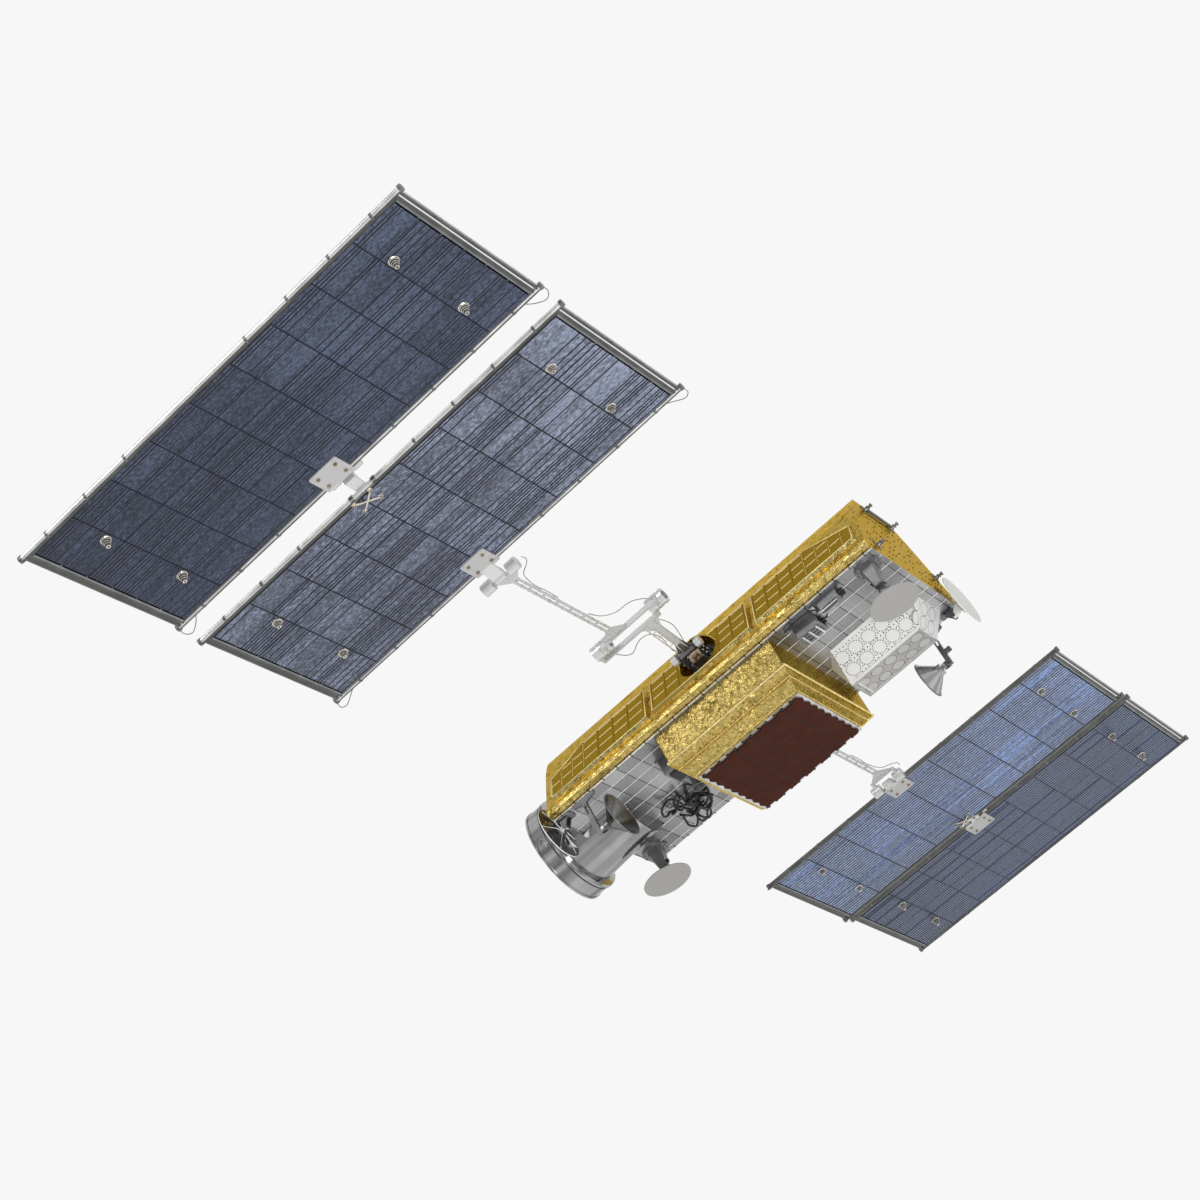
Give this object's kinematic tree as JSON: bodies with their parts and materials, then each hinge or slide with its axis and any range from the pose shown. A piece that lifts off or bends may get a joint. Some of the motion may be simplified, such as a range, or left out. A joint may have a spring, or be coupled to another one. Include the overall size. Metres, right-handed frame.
{
  "type": "communications satellite",
  "caption": "Foil-wrapped box satellite with a mirrored antenna deck, a main array, steerable dishes and horns, and two folding solar wings.",
  "frame": {"origin": "on the wing plane, at the middle of the bus", "axes": "+X along the bus towards the bracket end, +Y towards the right wing, +Z away from the antenna deck"},
  "size_m": [2.893, 9.432, 0.985],
  "materials": {
    "foil": "crinkled gold film",
    "mirror_tile": "second-surface mirror tiles",
    "dark_metal": "dark grey, satin",
    "grey_metal": "mid grey, satin",
    "light_metal": "light grey, satin",
    "white_paint": "white thermal paint",
    "array_brown": "matt dark brown",
    "cell": "blue-black solar cells under glass",
    "black_jacket": "black cable jacket",
    "carbon": "grey laminate"
  },
  "bodies": {
    "bus": {"antenna_deck": "mirror_tile", "array_housing": "foil", "array_plate": "light_metal", "array_tiles": "array_brown", "bracket_low_left": "dark_metal", "bracket_low_right": "dark_metal", "bracket_roof_left": "dark_metal", "bracket_roof_right": "dark_metal", "bus_body": "foil", "cable_loops": "black_jacket", "drive_housing_left": "dark_metal", "drive_housing_right": "dark_metal", "end_clevis_aft": "dark_metal", "end_clevis_fore": "dark_metal", "filter_unit": "grey_metal", "gimbal_a_base": "dark_metal", "gimbal_d_base": "dark_metal", "horn_arm_aft": "dark_metal", "horn_arm_fore": "dark_metal", "launch_cone": "grey_metal", "patch_box": "white_paint", "receiver_unit": "grey_metal", "side_horn": "grey_metal", "side_unit": "grey_metal"},
    "turntable_left": {"root_fitting_left": "dark_metal"},
    "inner_yoke_left": {"yoke_inner_left": "light_metal"},
    "outer_yoke_left": {"yoke_outer_left": "light_metal"},
    "inner_wing_left": {"panel_inner_left": "carbon", "cells_inner_left": "cell"},
    "outer_wing_left": {"panel_outer_left": "carbon", "cells_outer_left": "cell"},
    "turntable_right": {"root_fitting_right": "dark_metal"},
    "inner_yoke_right": {"yoke_inner_right": "light_metal"},
    "outer_yoke_right": {"yoke_outer_right": "light_metal"},
    "inner_wing_right": {"panel_inner_right": "carbon", "cells_inner_right": "cell"},
    "outer_wing_right": {"panel_outer_right": "carbon", "cells_outer_right": "cell"},
    "gimbal_a_head": {"gimbal_a_fork": "dark_metal"},
    "dish_a_body": {"dish_a": "grey_metal"},
    "gimbal_d_head": {"gimbal_d_fork": "dark_metal"},
    "dish_d_body": {"dish_d": "grey_metal"},
    "end_dish_fore_body": {"end_dish_fore": "white_paint"},
    "end_dish_aft_body": {"end_dish_aft": "white_paint"},
    "horn_aft_body": {"horn_aft": "dark_metal"},
    "horn_fore_body": {"horn_fore": "dark_metal"}
  },
  "joints": [
    {"name": "wing_drive_left", "type": "hinge", "parent": "bus", "child": "turntable_left", "pos_m": [0.02, -0.34, -0.085], "axis": [0, 1, 0], "continuous": true},
    {"name": "wing_fold_left", "type": "hinge", "parent": "turntable_left", "child": "inner_yoke_left", "pos_m": [0.02, -0.605, -0.085], "axis": [1, 0, 0], "range_deg": [0, 90]},
    {"name": "yoke_fold_left", "type": "hinge", "parent": "inner_yoke_left", "child": "outer_yoke_left", "pos_m": [-0.1, -1.025, 0.03], "axis": [1, 0, 0], "range_deg": [-180, 0]},
    {"name": "inner_wing_fold_left", "type": "hinge", "parent": "outer_yoke_left", "child": "inner_wing_left", "pos_m": [-0.1, -2.235, -0.035], "axis": [1, 0, 0], "range_deg": [0, 180]},
    {"name": "outer_wing_fold_left", "type": "hinge", "parent": "inner_wing_left", "child": "outer_wing_left", "pos_m": [-0.1, -3.56, 0.066], "axis": [1, 0, 0], "range_deg": [-180, 0]},
    {"name": "wing_drive_right", "type": "hinge", "parent": "bus", "child": "turntable_right", "pos_m": [0.02, 0.34, -0.085], "axis": [0, 1, 0], "continuous": true},
    {"name": "wing_fold_right", "type": "hinge", "parent": "turntable_right", "child": "inner_yoke_right", "pos_m": [0.02, 0.605, -0.085], "axis": [-1, 0, 0], "range_deg": [0, 90]},
    {"name": "yoke_fold_right", "type": "hinge", "parent": "inner_yoke_right", "child": "outer_yoke_right", "pos_m": [-0.1, 1.025, 0.03], "axis": [-1, 0, 0], "range_deg": [-180, 0]},
    {"name": "inner_wing_fold_right", "type": "hinge", "parent": "outer_yoke_right", "child": "inner_wing_right", "pos_m": [-0.1, 2.235, -0.035], "axis": [-1, 0, 0], "range_deg": [0, 180]},
    {"name": "outer_wing_fold_right", "type": "hinge", "parent": "inner_wing_right", "child": "outer_wing_right", "pos_m": [-0.1, 3.56, 0.066], "axis": [-1, 0, 0], "range_deg": [-180, 0]},
    {"name": "gimbal_a_turn", "type": "hinge", "parent": "bus", "child": "gimbal_a_head", "pos_m": [1.171, -0.433, -0.505], "axis": [0, 0, 1], "range_deg": [-90, 90]},
    {"name": "gimbal_a_tilt", "type": "hinge", "parent": "gimbal_a_head", "child": "dish_a_body", "pos_m": [1.171, -0.433, -0.56], "axis": [1, 0, 0], "range_deg": [-30, 30]},
    {"name": "gimbal_d_turn", "type": "hinge", "parent": "bus", "child": "gimbal_d_head", "pos_m": [-1.171, 0.433, -0.505], "axis": [0, 0, 1], "range_deg": [-90, 90]},
    {"name": "gimbal_d_tilt", "type": "hinge", "parent": "gimbal_d_head", "child": "dish_d_body", "pos_m": [-1.171, 0.433, -0.56], "axis": [-1, 0, 0], "range_deg": [-30, 30]},
    {"name": "end_dish_fore_tilt", "type": "hinge", "parent": "bus", "child": "end_dish_fore_body", "pos_m": [1.232, 0.508, -0.408], "axis": [0, 1, 0], "range_deg": [0, 60]},
    {"name": "end_dish_aft_tilt", "type": "hinge", "parent": "bus", "child": "end_dish_aft_body", "pos_m": [-1.232, -0.508, -0.408], "axis": [0, -1, 0], "range_deg": [0, 60]},
    {"name": "horn_aft_tilt", "type": "hinge", "parent": "bus", "child": "horn_aft_body", "pos_m": [-1.003, -0.547, -0.62], "axis": [0, 1, 0], "range_deg": [-20, 20]},
    {"name": "horn_fore_tilt", "type": "hinge", "parent": "bus", "child": "horn_fore_body", "pos_m": [1.003, 0.56, -0.605], "axis": [0, -1, 0], "range_deg": [-20, 20]}
  ],
  "couplings": [
    {"joint": "wing_fold_left", "follows": "outer_wing_fold_left", "ratio": -0.5},
    {"joint": "yoke_fold_left", "follows": "outer_wing_fold_left", "ratio": 1},
    {"joint": "inner_wing_fold_left", "follows": "outer_wing_fold_left", "ratio": -1},
    {"joint": "wing_fold_right", "follows": "outer_wing_fold_right", "ratio": -0.5},
    {"joint": "yoke_fold_right", "follows": "outer_wing_fold_right", "ratio": 1},
    {"joint": "inner_wing_fold_right", "follows": "outer_wing_fold_right", "ratio": -1}
  ]
}
